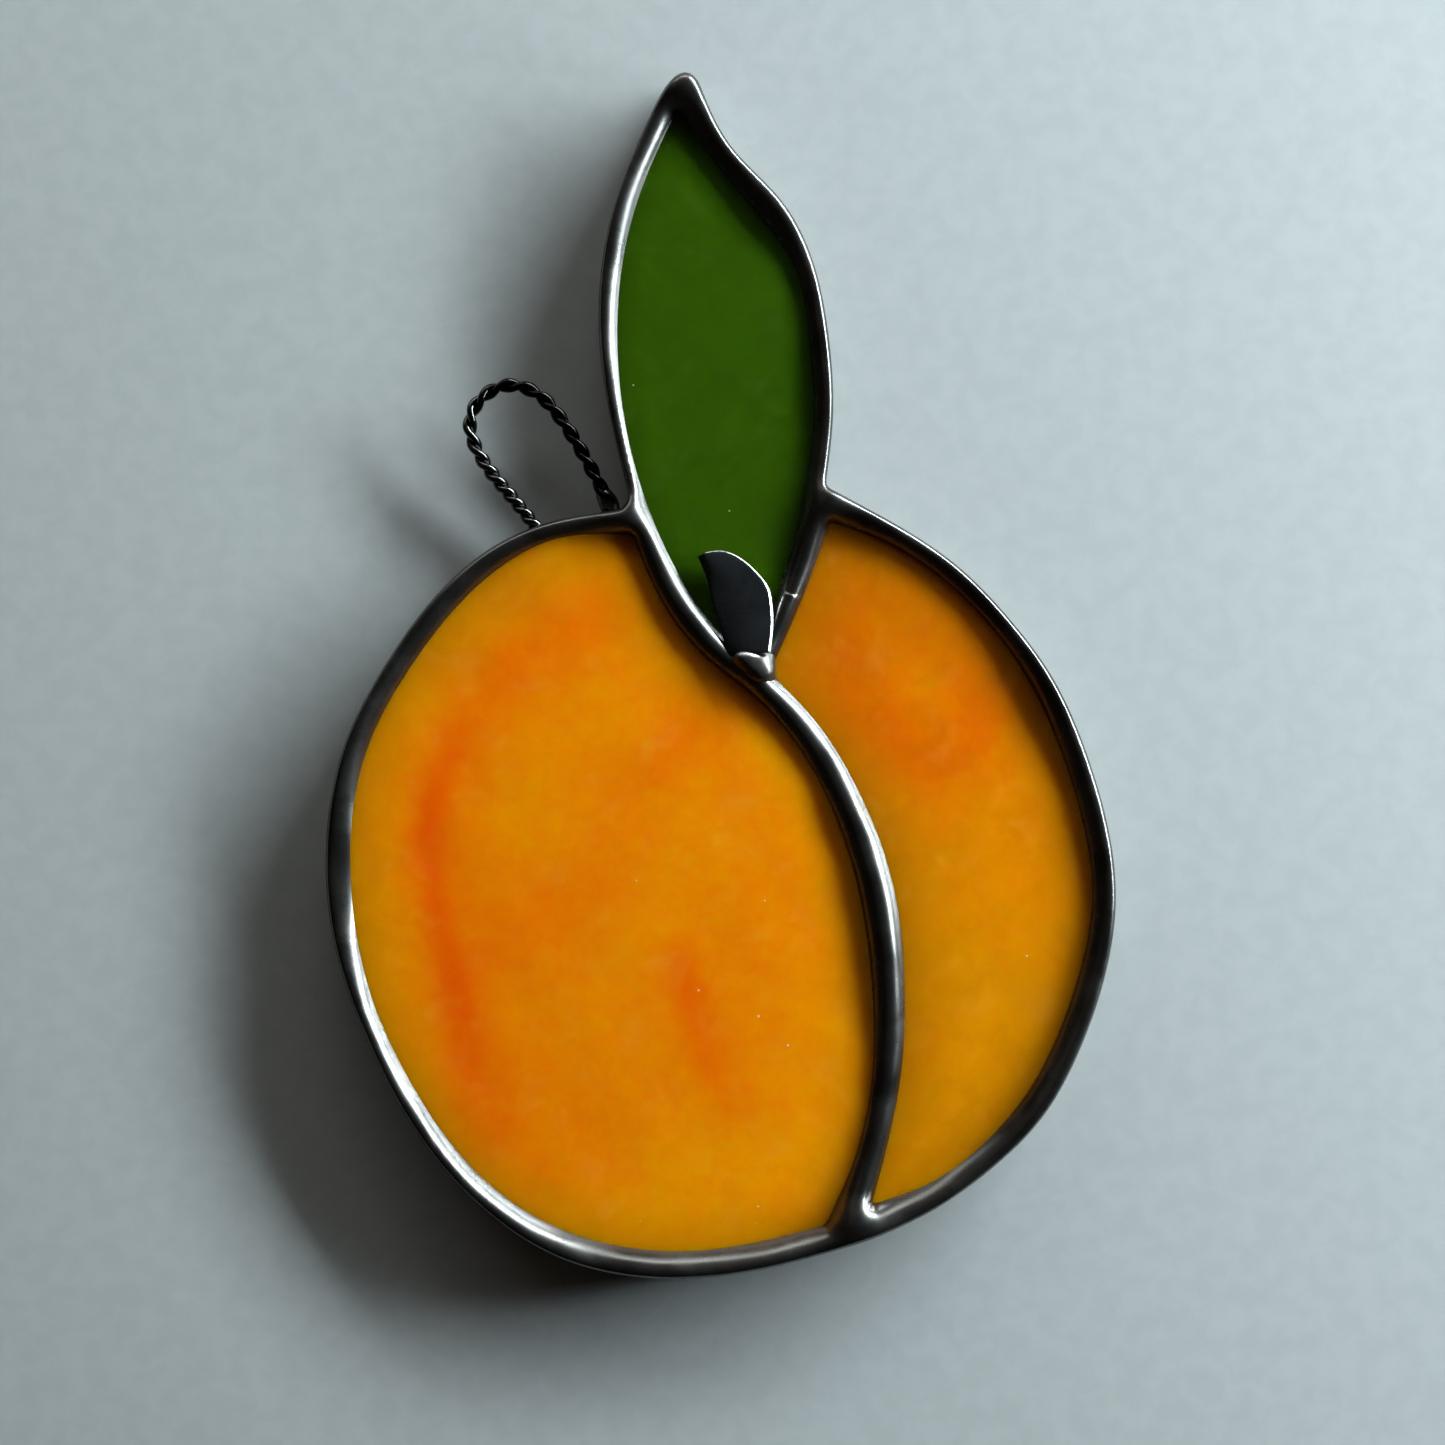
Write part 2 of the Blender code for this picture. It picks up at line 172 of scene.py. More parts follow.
def grown(path, distance):
    """The closed outline with each side moved outwards by this distance."""
    side = np.roll(path, -1, axis=0) - path
    side /= np.linalg.norm(side, axis=1)[:, None]
    out = np.stack([side[:, 1], -side[:, 0]], axis=1)
    both = out + np.roll(out, 1, axis=0)
    return path + distance * 2 * both / np.sum(both**2, axis=1)[:, None]


def nearest(points, others):
    """Each point's distance from the nearest of the others."""
    parts = np.array_split(points, len(points) // 2000 + 1)
    size = np.sum(others**2, axis=1)
    close = [(size - 2 * part @ others.T).min(axis=1) + np.sum(part**2, axis=1) for part in parts]
    return np.sqrt(np.maximum(np.concatenate(close), 0))


def inside(points, loop):
    """Whether a ray from each point to the right crosses an odd number of the outline's sides."""
    ahead = np.roll(loop, -1, axis=0)
    rise = ahead[:, 1] - loop[:, 1]
    slant = (ahead[:, 0] - loop[:, 0]) / np.where(rise == 0, 1, rise)
    odd = []
    for part in np.array_split(points, len(points) // 2000 + 1):
        x, y = part[:, :1], part[:, 1:]
        spans = (loop[:, 1] > y) != (ahead[:, 1] > y)
        crosses = spans & (x < loop[:, 0] + (y - loop[:, 1]) * slant)
        odd.append(np.sum(crosses, axis=1) % 2 == 1)
    return np.concatenate(odd)


def field(loops, rings, spacing, extra=None):
    """A flat field inside the first outline and outside the others. Its points are the outlines,
    copies of them moved into the field by each distance in rings, and a grid of equal triangles
    further in, which one Delaunay triangulation joins. It gives the points and the triangles."""
    edge = np.concatenate(loops)
    x = np.arange(edge[:, 0].min(), edge[:, 0].max(), spacing)
    y = np.arange(edge[:, 1].min(), edge[:, 1].max(), spacing * np.sqrt(0.75))
    grid = np.stack(np.meshgrid(x, y), axis=2)
    grid[1::2, :, 0] += spacing / 2
    inner = [(grid.reshape(-1, 2), max(rings, default=0) + spacing / 2)]
    inner += [(grown(loops[0], -away), 0.9 * away) for away in rings]
    inner += [(grown(hole, away), 0.9 * away) for hole in loops[1:] for away in rings]
    if extra is not None:
        inner[0] = (inner[0][0][nearest(inner[0][0], extra) > spacing / 2], inner[0][1])
        inner.append((extra, inner[0][1]))
    kept = [edge]
    for points, room in inner:
        points = points[nearest(points, edge) > room]
        points = points[inside(points, loops[0])]
        for hole in loops[1:]:
            points = points[~inside(points, hole)]
        kept.append(points)
    points = np.concatenate(kept)
    starts = np.cumsum([0] + [len(loop) for loop in loops])
    sides = np.arange(len(edge))
    ahead = sides + 1
    ahead[starts[1:] - 1] = starts[:-1]
    sides = np.stack([sides, ahead], axis=1)
    made, _, faces, *_ = delaunay_2d_cdt(points.tolist(), sides.tolist(), [], 0, 1e-7)
    if len(made) != len(points):
        raise ValueError("points of a field coincide, or its outlines cross")
    faces = np.array(faces)
    middle = points[faces].mean(axis=1)
    holes = sum(inside(middle, hole) for hole in loops[1:])
    faces = faces[inside(middle, loops[0]) & (holes == 0)]
    a, b = (points[faces[:, k]] - points[faces[:, 0]] for k in (1, 2))
    clockwise = a[:, 0] * b[:, 1] < a[:, 1] * b[:, 0]
    faces[clockwise] = faces[clockwise, ::-1]
    return points, faces


def swell(points, size, seed, waves=9):
    """A smooth random rise and fall, mostly between -1 and 1: the sum of sine waves about this
    many millimetres long, in drawn directions."""
    draw = np.random.default_rng(seed)
    heading = draw.uniform(0, 2 * np.pi, waves)
    number = 2 * np.pi / (size * draw.uniform(0.7, 1.5, waves))
    front = points[:, :1] * (np.cos(heading) * number) + points[:, 1:2] * (np.sin(heading) * number)
    return np.sin(front + draw.uniform(0, 2 * np.pi, waves)).sum(axis=1) / np.sqrt(waves)


def eased(value, low, high):
    """0 below low, 1 above high and a smooth rise between."""
    share = np.clip((value - low) / (high - low), 0, 1)
    return share**2 * (3 - 2 * share)


def band(first, last, count):
    """Quads between two closed rows of points, which start at these numbers."""
    row = np.arange(count)
    ahead = np.roll(row, -1)
    return np.stack([first + row, first + ahead, last + ahead, last + row], axis=1)


def new_piece(name, points, faces, material, sharp=50, **attributes):
    """A mesh object from points in millimetres and arrays of faces. Each attribute has a number
    for each point, which the material reads by its name."""
    mesh = bpy.data.meshes.new(name)
    mesh.from_pydata((points * MM).tolist(), [], sum((group.tolist() for group in faces), []))
    for key, values in attributes.items():
        mesh.attributes.new(key, "FLOAT", "POINT").data.foreach_set("value", np.float32(values))
    mesh.materials.append(material)
    mesh.shade_smooth()
    mesh.set_sharp_from_angle(angle=np.radians(sharp))
    made = bpy.data.objects.new(name, mesh)
    bpy.context.scene.collection.objects.link(made)
    return made


def node(tree, kind, inputs=(), **settings):
    """A new node. inputs maps a socket's name or number to a value or to another node's output."""
    made = tree.nodes.new(kind)
    for key, value in settings.items():
        setattr(made, key, value)
    for socket, value in dict(inputs).items():
        if isinstance(value, bpy.types.NodeSocket):
            tree.links.new(value, made.inputs[socket])
        else:
            made.inputs[socket].default_value = value
    return made


def maths(tree, operation, *values):
    return node(tree, "ShaderNodeMath", enumerate(values), operation=operation).outputs[0]


def blend(tree, factor, first, second):
    """Between two colours, by a factor from 0 to 1."""
    colours = [c if isinstance(c, bpy.types.NodeSocket) else (*c, 1.0) for c in (first, second)]
    inputs = {0: factor, 6: colours[0], 7: colours[1]}
    return node(tree, "ShaderNodeMix", inputs, data_type="RGBA").outputs[2]


def spaced(tree, value, low, high, to_low=0.0, to_high=1.0):
    """The value's range from low to high taken smoothly to another one, and held at its ends."""
    inputs = dict(enumerate((value, low, high, to_low, to_high)))
    return node(tree, "ShaderNodeMapRange", inputs, interpolation_type="SMOOTHSTEP").outputs[0]


def new_group(name, inputs, outputs):
    """A node group with these number inputs, and their values, and these number outputs. It gives
    the group, its inputs' sockets, its outputs' sockets and its Object coordinates."""
    tree = bpy.data.node_groups.new(name, "ShaderNodeTree")
    for key, value in inputs.items():
        made = tree.interface.new_socket(key, in_out="INPUT", socket_type="NodeSocketFloat")
        made.default_value = value
    for key in outputs:
        tree.interface.new_socket(key, in_out="OUTPUT", socket_type="NodeSocketFloat")
    ends = tree.nodes.new("NodeGroupInput").outputs, tree.nodes.new("NodeGroupOutput").inputs
    return tree, *ends, tree.nodes.new("ShaderNodeTexCoord").outputs["Object"]


def clouds(tree, place, size, detail=3.0):
    """Noise from 0 to 1 whose clouds are about this many millimetres across."""
    scale = maths(tree, "DIVIDE", 1 / MM, size)
    inputs = {"Vector": place, "Scale": scale, "Detail": detail, "Distortion": 0.4}
    return node(tree, "ShaderNodeTexNoise", inputs).outputs["Fac"]


def new_material(name):
    """A material, its node tree, its Principled BSDF's inputs and its Object coordinates."""
    made = bpy.data.materials.new(name)
    made.use_nodes = True
    tree = made.node_tree
    place = tree.nodes.new("ShaderNodeTexCoord").outputs["Object"]
    return made, tree, tree.nodes["Principled BSDF"].inputs, place


def dimpled(tree, shader, height, strength, depth):
    """Bumps where the height's clouds are, up to this many millimetres deep at full strength."""
    inputs = {"Height": height, "Strength": strength, "Distance": depth * MM}
    bump = node(tree, "ShaderNodeBump", inputs)
    tree.links.new(bump.outputs["Normal"], shader["Normal"])


def group_in(tree, group, **values):
    """The group placed in a material with these values. It gives the group's outputs."""
    return node(tree, "ShaderNodeGroup", values, node_tree=group).outputs


# Specks are pinholes and dust: one round dot in a cell, with most cells left empty.
specks, given, wanted, place = new_group(
    "specks", {"Size": 0.1, "Cell": 5.0, "Share": 0.3}, ["Speck"]
)
cell_scale = maths(specks, "DIVIDE", 1 / MM, given["Cell"])
cells = node(specks, "ShaderNodeTexVoronoi", {"Vector": place, "Scale": cell_scale}).outputs
cell_draw = node(specks, "ShaderNodeSeparateColor", {0: cells["Color"]}).outputs
speck_size = maths(specks, "MULTIPLY", given["Size"], maths(specks, "ADD", cell_draw[1], 0.5))
speck_away = maths(specks, "MULTIPLY", cells["Distance"], given["Cell"])
speck_dot = spaced(specks, maths(specks, "DIVIDE", speck_away, speck_size), 1.0, 0.6)
speck_kept = maths(specks, "LESS_THAN", cell_draw[0], given["Share"])
specks.links.new(maths(specks, "MULTIPLY", speck_dot, speck_kept), wanted["Speck"])

# Milk is how far the molten colours stirred into each other: broad clouds, and mottle in them.
milk, given, wanted, place = new_group("milk", {"Broad": 9.0, "Fine": 1.5}, ["Broad", "Fine"])
for key in ("Broad", "Fine"):
    milk.links.new(clouds(milk, place, given[key]), wanted[key])


def glass_material(name, palette, pale, shade, hazy):
    """Opalescent glass. The palette's colours run from the yellowest to the reddest place, pale is the
    colour of its milkiest clouds, shade is the colour of the painted shade beside the solder and of
    the darker mottle, and hazy is the colour of small scuffed places."""
    made, tree, shader, place = new_material(name)
    stir = group_in(tree, milk, Broad=8.0, Fine=2.0)
    streak = node(tree, "ShaderNodeAttribute", attribute_name="streak").outputs["Fac"]
    edge = node(tree, "ShaderNodeAttribute", attribute_name="edge").outputs["Fac"]
    red = maths(tree, "MULTIPLY_ADD", stir["Broad"], 0.35, streak)
    red = maths(tree, "MULTIPLY_ADD", stir["Fine"], 0.22, red)
    ramp = node(tree, "ShaderNodeValToRGB", {"Fac": red})
    stops = ramp.color_ramp.elements
    stops[0].position, stops[0].color = palette[0][0], (*palette[0][1], 1)
    stops[1].position, stops[1].color = palette[-1][0], (*palette[-1][1], 1)
    for at, colour in palette[1:-1]:
        stops.new(at).color = (*colour, 1)
    colour = ramp.outputs["Color"]
    milky = spaced(tree, clouds(tree, place, 5.0), 0.55, 0.8, 0.0, 0.22)
    colour = blend(tree, milky, colour, pale)
    # Painted shade: the pane darkens to the shade colour beside the solder, by the edge attribute
    colour = blend(tree, edge, colour, shade)
    mottle = spaced(tree, clouds(tree, place, 3.4), 0.35, 0.7, 0.0, 0.13)
    colour = blend(tree, mottle, colour, shade)
    haze = spaced(tree, clouds(tree, place, 3.6), 0.52, 0.8, 0.0, 0.15)
    colour = blend(tree, haze, colour, hazy)
    speck = group_in(tree, specks, Size=0.12, Cell=3.2, Share=0.5)["Speck"]
    colour = blend(tree, maths(tree, "MULTIPLY", speck, 0.6), colour, (0.95, 0.8, 0.6))
    tree.links.new(colour, shader["Base Color"])
    rough = spaced(tree, stir["Fine"], 0.3, 0.7, 0.12, 0.24)
    tree.links.new(maths(tree, "MULTIPLY_ADD", speck, 0.4, rough), shader["Roughness"])
    dimpled(tree, shader, stir["Fine"], 0.05, 0.2)
    shader["IOR"].default_value = 1.5
    shader["Subsurface Weight"].default_value = 1.0
    shader["Subsurface Radius"].default_value = (1.0, 0.5, 0.15)
    shader["Subsurface Scale"].default_value = 3.2 * MM
    return made


ORANGES = (
    (0.0, (0.98, 0.375, 0.0)),
    (0.25, (0.99, 0.3, 0.0)),
    (0.5, (0.99, 0.225, 0.0)),
    (0.8, (0.97, 0.16, 0.0)),
    (1.0, (0.95, 0.125, 0.0)),
)
RIGHT_TONE = 0.82  # the right lobe was cut from a denser part of the sheet
SCUFFED = (0.98, 0.37, 0.04)
orange_glass = glass_material(
    "streaky_orange_glass", ORANGES, (0.98, 0.4, 0.02), (0.42, 0.15, 0.0), SCUFFED
)
denser = [(at, tuple(RIGHT_TONE * part for part in colour)) for at, colour in ORANGES]
right_glass = glass_material(
    "denser_orange_glass", denser, (0.9, 0.36, 0.015), (0.33, 0.12, 0.0), SCUFFED
)
green_glass = glass_material(
    "leaf_green_glass",
    (
        (0.0, (0.031, 0.083, 0.001)),
        (0.5, (0.039, 0.106, 0.001)),
        (1.0, (0.046, 0.126, 0.001)),
    ),
    pale=(0.06, 0.15, 0.008),
    shade=(0.016, 0.042, 0.001),
    hazy=(0.07, 0.16, 0.02),
)


def streakiness(points, streaks):
    """How much redder or yellower than its pane each point is: the strongest of the bell curves
    of its distance from places along a streak, added up over the streaks."""
    total = np.zeros(len(points))
    for streak in streaks:
        path = smooth_through(streak, 0.5)
        away = np.linalg.norm(points[:, None, :2] - path[None, :, :2], axis=2)
        level = path[:, 3] * np.exp(-((away / path[:, 2]) ** 2) / 1.5)
        total += np.take_along_axis(level, np.abs(level).argmax(axis=1)[:, None], axis=1)[:, 0]
    return total


def pane(
    name, node_name, window, hidden, material,
    streaks=(), yellow_edge=0.0, shade=EDGE_SHADE, seed=0,
):
    """A wavy sheet cut to the window's outline, grown by what the solder hides. Its height is the
    glass's, plus a swell that dies out towards the solder."""
    points, faces = field([grown(window, hidden)], (), PANE_GRID)
    depth = nearest(points, window) * np.where(inside(points, window), 1, -1)
    calm = eased(depth, 0, 3) * WAVES
    top = GLASS_HIGH + calm * swell(points, 9, seed)
    low = GLASS_LOW - calm * swell(points, 11, seed + 1)
    count, ring = len(points), len(window)
    solid = np.concatenate([np.column_stack([points, top]), np.column_stack([points, low])])
    faces = [faces, faces[:, ::-1] + count, band(count, 0, ring)]
    red = streakiness(points, streaks) - yellow_edge * (1 - eased(depth, 1, 8))
    # Painted shade beside the solder: the edge attribute falls off with the distance from the window
    # and reaches farther towards the top, where the rims above shade the glass
    shaded = shade[1] * (1 + shade[2] * eased(points[:, 1], -6, 8))
    edge = shade[0] * (1 - np.clip(depth / shaded, 0, 1)) ** 1.5
    made = new_piece(name, solid, faces, material, streak=np.tile(red, 2), edge=np.tile(edge, 2))
    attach(made, "root")
    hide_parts(node_name)


left_window = outline(LEFT_WINDOW, WINDOW_CORNER)
right_window = outline(RIGHT_WINDOW, WINDOW_CORNER)
leaf_window = outline(LEAF_WINDOW, WINDOW_CORNER)
LOBE_HIDDEN = 0.75  # how far a lobe's pane runs on under the solder
LEAF_HIDDEN = 0.6
pane("left_pane", "left_lobe_glass", left_window, LOBE_HIDDEN, orange_glass,
     LEFT_STREAKS, yellow_edge=0.24, seed=3)
pane("right_pane", "right_lobe_glass", right_window, LOBE_HIDDEN, right_glass,
     RIGHT_STREAKS, yellow_edge=0.1, seed=5)
pane("leaf_pane", "leaf_glass", leaf_window, LEAF_HIDDEN, green_glass,
     shade=LEAF_SHADE, seed=7)

# Foil
# Thin copper tape, stuck round the edge of each pane and folded over its faces. Solder takes on
# it and not on the glass. The solder covers all of it.
tarnish, given, wanted, place = new_group("tarnish", {"Broad": 7.0, "Fine": 0.5}, ["Broad", "Fine"])
for key in ("Broad", "Fine"):
    tarnish.links.new(clouds(tarnish, place, given[key], 5.0), wanted[key])

copper, tree, shader, _ = new_material("foil_copper")
worn = group_in(tree, tarnish, Broad=5.0, Fine=0.4)
tree.links.new(
    blend(tree, worn["Broad"], (0.62, 0.27, 0.15), (0.42, 0.16, 0.08)), shader["Base Color"]
)
tree.links.new(spaced(tree, worn["Fine"], 0.3, 0.7, 0.3, 0.5), shader["Roughness"])
shader["Metallic"].default_value = 1.0
FOIL_HIDDEN = 0.3  # the foil on the faces ends this far short of the window


def foil(name, window, hidden):
    """A band whose closed profile goes round the pane's edge and back: outside, then inside."""
    high, low = GLASS_HIGH + 0.02, GLASS_LOW - 0.02
    out, inner, thick = hidden + 0.06, hidden + 0.02, 0.04
    profile = (
        (FOIL_HIDDEN, high), (FOIL_HIDDEN, high + thick), (out, high + thick), (out, low - thick),
        (FOIL_HIDDEN, low - thick), (FOIL_HIDDEN, low), (inner, low), (inner, high),
    )
    ring = len(window)
    rows = [np.column_stack([grown(window, away), np.full(ring, z)]) for away, z in profile]
    faces = [band(k * ring, (k + 1) % len(rows) * ring, ring)[:, ::-1] for k in range(len(rows))]
    made = new_piece(name, np.concatenate(rows), faces, copper)
    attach(made, "root")
    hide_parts(name.removesuffix("_tape"))


foil("left_lobe_foil_tape", left_window, LOBE_HIDDEN)
foil("right_lobe_foil_tape", right_window, LOBE_HIDDEN)
foil("leaf_foil_tape", leaf_window, LEAF_HIDDEN)

# Solder
# One net of tin and lead solder, run as a rounded bead along every seam and round the rim with an
# iron, then blackened with patina and waxed. It stands highest where most solder was left, meets
# the glass in a thin lip, and turns over the outer edge in a tighter curve.
RIM = (
    ((-9.6, 18.6), (-11.49, 26.51), (-12.73, 34.55), (-12.55, 42.71), (-10.81, 50.68), (-7.69, 58.17),
     (-5.4, 62), (-3.6, 63.1), (-2.39, 62.27)),
    ((-2.39, 62.27), (1.14, 55.44), (6.38, 49.77), (9.91, 42.84), (11.4, 35.2), (11.83, 27.43),
     (10.99, 19.73)),
    ((10.99, 19.73), (17.9, 16.05), (24.57, 11.67), (30.19, 6.03), (34.89, -0.41), (38.22, -7.69),
     (40.53, -15.36), (41.51, -23.31), (40.45, -31.23), (37.93, -38.79), (34.17, -45.87),
     (28.69, -51.73), (22.14, -56.34), (14.81, -59.48), (7.13, -61.74), (-0.76, -63.19),
     (-8.79, -63.19), (-16.6, -61.33), (-23.49, -57.22), (-29.23, -51.63), (-33.8, -45.05),
     (-37.32, -37.86), (-40.1, -30.34), (-41.49, -22.44), (-41.23, -14.44), (-39.27, -6.71),
     (-35.61, 0.4), (-31.03, 6.98), (-25.3, 12.48), (-18.19, 15.98), (-10.29, 17.29)),
    ((-10.29, 17.29), (-9.6, 18.6)),
)
RIM_CORNER = 0.5
LIP = 0.01  # between the glass and the solder's lip
CREEP = 1.9  # how far, in millimetres, a wide web keeps on rising from its edges
HOLD = 0.18  # how hard the outer edge holds the bead down, per millimetre
EDGE_TURN = 0.8  # radius at which the bead turns over the outer edge
GROOVE = 0.12  # the groove's wall is this far past the pane
GROOVE_ROOM = 0.09  # above and below the pane, for the foil
GROOVE_MOUTH = 0.22  # where the solder is thick enough to have a groove in it
BEAD_GRID = 0.32  # between the points of the solder's faces
FINE_GRID = 0.11  # the same round the end of a run
EDGE_ROWS = (0.03, 0.09, 0.18, 0.3, 0.45)  # rows of points this far from every edge of the solder
# More or less solder: x, y, radius and amount
POOLS = (
    (9.6, 15.5, 3.0, 0.25), (8.0, 7.6, 1.6, 0.3), (13.5, -57.6, 3.0, 0.2),
    (-9.6, 17.0, 2.4, 0.2), (11.2, 18.2, 1.8, 0.25), (17.5, -34.0, 6.0, -0.28),
    (-3.8, 61.6, 1.6, 0.5), (5.0, -2.4, 3.0, 0.2), (-40.0, -20.5, 8.0, -0.78),
    (-37.0, -37.0, 7.0, 0.32), (-27.0, -51.0, 9.0, 0.32), (13.0, -8.0, 7.0, -0.16),
    (15.5, -20.0, 7.0, -0.18), (16.0, -44.0, 7.0, -0.16), (38.5, -22.0, 9.0, -0.16),
    (25.0, -53.0, 8.0, -0.3),
)


def bead_height(points, faces, plenty, pinned, held):
    """How high solder stands over each point, as a skin stretched over a pressure. The height is
    zero along the windows and held down at the rim. Inside, it curves down as fast as solder is
    plentiful there, less its own height over the creep squared. Linear triangles, each side
    weighted by the cotangents of the corners that it faces, turn that into one linear system,
    which conjugate gradients solve."""
    count = len(points)
    corner = points[faces]
    side = np.roll(corner, -2, axis=1) - np.roll(corner, -1, axis=1)
    area = (side[:, 0, 0] * side[:, 1, 1] - side[:, 0, 1] * side[:, 1, 0]) / 2
    facing = np.sum(np.roll(side, -1, axis=1) * np.roll(side, -2, axis=1), axis=2)
    weight = (-facing / area[:, None] / 4).ravel()
    start, end = np.roll(faces, -1, axis=1).ravel(), np.roll(faces, -2, axis=1).ravel()
    patch = np.bincount(faces.ravel(), np.repeat(area / 3, 3), count)
    own = patch / CREEP**2 + held
    scale = own + np.bincount(start, weight, count) + np.bincount(end, weight, count)

    def pull(level):
        flow = weight * (level[start] - level[end])
        back = np.bincount(start, flow, count) - np.bincount(end, flow, count)
        return np.where(pinned, 0, back + own * level)

    level = np.zeros(count)
    left = np.where(pinned, 0, patch * plenty)
    ahead = left / scale
    size = left @ ahead
    enough = 1e-12 * size
    while size > enough:
        pulled = pull(ahead)
        reach = size / (ahead @ pulled)
        level += reach * ahead
        left -= reach * pulled
        next_size = left @ (left / scale)
        ahead = left / scale + next_size / size * ahead
        size = next_size
    return np.maximum(level, 0)


def run_end(points, x, y, heading, amount):
    """A share by which one run of solder stands over another that it ends on: a small sharp step
    across the seam at x, y, which fades out behind it, away from the heading."""
    away = np.radians(heading)
    behind = (x - points[:, 0]) * np.cos(away) + (y - points[:, 1]) * np.sin(away)
    aside = (points[:, 0] - x) * np.sin(away) - (points[:, 1] - y) * np.cos(away)
    step = (1 + np.tanh(behind / 0.09)) / 2 * np.exp(-np.maximum(behind, 0) / 2.5)
    return amount * step * (1 - eased(np.abs(aside), 2.2, 3.0))


# Where one run of solder ends on the next: x, y, heading in degrees and share of height
RUN_ENDS = ((7.3, 8.4, 73, 0.12),)

rim = outline(RIM, RIM_CORNER)
windows = (left_window, right_window, leaf_window)
fine = np.arange(-2, 2, FINE_GRID)
fine = np.stack(np.meshgrid(fine, fine), axis=2).reshape(-1, 2)
fine = np.concatenate([fine + (end[0], end[1]) for end in RUN_ENDS])
points, faces = field([rim, *windows], EDGE_ROWS, BEAD_GRID, fine)
ring = len(rim)
count = len(points)
from_rim = nearest(points, rim)
from_rim[:ring] = 0
# There is less solder round the leaf, more on the seams than on the rim, and it varies on the way
plenty = 1.06 - 0.1 * eased(points[:, 1], 10, 20) + 0.24 * eased(from_rim, 2.0, 4.0)
plenty += 0.1 * swell(points, 14, 11) + 0.06 * swell(points, 5, 12)
for x, y, radius, amount in POOLS:
    plenty += amount * np.exp(-((points[:, 0] - x) ** 2 + (points[:, 1] - y) ** 2) / radius**2)
pinned = np.zeros(count, bool)
pinned[ring : ring + sum(len(window) for window in windows)] = True
held = np.zeros(count)
sides = np.linalg.norm(rim - np.roll(rim, 1, axis=0), axis=1)
held[:ring] = HOLD * (sides + np.roll(sides, -1)) / 2
rise = bead_height(points, faces, np.maximum(plenty, 0.2), pinned, held)
rise *= 1 + sum(run_end(points, *end) for end in RUN_ENDS)
near_edge = np.minimum(from_rim, EDGE_TURN)
turned = EDGE_TURN - np.sqrt(EDGE_TURN**2 - (EDGE_TURN - near_edge) ** 2)
top = GLASS_HIGH + LIP + rise - turned
settled = 1 - (1 - np.minimum(rise / 1.05, 1)) ** 2
low = (GLASS_LOW - LIP) * (1 - settled) + turned

WALL_ROWS = 7
WAIST = 0.12  # the beads on the two faces stand out past the thin solder on the edge
share = np.linspace(0, 1, WALL_ROWS + 2)[1:-1]
wall = [
    np.column_stack([grown(rim, -WAIST * np.sin(np.pi * t)), low[:ring] + (top - low)[:ring] * t])
    for t in share
]
rows = [count] + [2 * count + k * ring for k in range(WALL_ROWS)] + [0]
sheets = [faces, faces[:, ::-1] + count]
sheets += [band(first, last, ring) for first, last in zip(rows[:-1], rows[1:])]
solid = [np.column_stack([points, top]), np.column_stack([points, low]), *wall]
used = 2 * count + WALL_ROWS * ring
begin = ring
for window, hidden in zip(windows, (LOBE_HIDDEN, LOBE_HIDDEN, LEAF_HIDDEN)):
    length = len(window)
    over, under = GLASS_HIGH + GROOVE_ROOM, GLASS_LOW - GROOVE_ROOM
    wall_at = hidden + GROOVE
    profile = ((GROOVE_MOUTH, over), (wall_at, over), (wall_at, under), (GROOVE_MOUTH, under))
    for away, height in profile:
        solid.append(np.column_stack([grown(window, away), np.full(length, height)]))
    rows = [begin, *(used + k * length for k in range(len(profile))), count + begin]
    sheets += [band(first, last, length) for first, last in zip(rows[:-1], rows[1:])]
    used += len(profile) * length
    begin += length
solid = np.concatenate(solid)


def dark_metal(name, light, dark, brown, rough, rough_to, bumps, metallic):
    """Blackened metal: a dark colour and a lighter one in clouds, brown where the patina is thin, and
    a gloss that changes from place to place. An attribute blends in light grey, as a painted highlight
    where a piece catches the light."""
    made, tree, shader, place = new_material(name)
    worn = group_in(tree, tarnish, Broad=6.0, Fine=0.4)
    colour = blend(tree, spaced(tree, worn["Broad"], 0.2, 0.8), dark, light)
    thin_patina_and_painted_sheen = spaced(tree, clouds(tree, place, 3.0), 0.58, 0.75, 0.0, 0.6)
    colour = blend(tree, thin_patina_and_painted_sheen, colour, brown)
    # Painted highlight: light grey wherever the attribute is set
    bare = node(tree, "ShaderNodeAttribute", attribute_name="bare").outputs["Fac"]
    tree.links.new(blend(tree, bare, colour, (0.75, 0.74, 0.72)), shader["Base Color"])
    tree.links.new(spaced(tree, worn["Broad"], 0.2, 0.8, rough, rough_to), shader["Roughness"])
    dimpled(tree, shader, worn["Fine"], bumps, 0.1)
    shader["Metallic"].default_value = metallic
    shader["IOR"].default_value = 1.5
    return made


black_solder = dark_metal(
    "black_patina_on_solder", (0.165, 0.16, 0.152), (0.1, 0.096, 0.091), (0.15, 0.125, 0.105),
    0.21, 0.33, 0.05, 0.97,
)
dull_solder = dark_metal(
    "dull_patina_on_solder", (0.14, 0.13, 0.12), (0.06, 0.055, 0.05), (0.14, 0.1, 0.08),
    0.3, 0.42, 0.15, 0.85,
)
net = new_piece("solder_beads", solid, sheets, black_solder)
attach(net, "root")
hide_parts("solder_net")


LUMP_SIDES = 48
LUMP_ROWS = 39


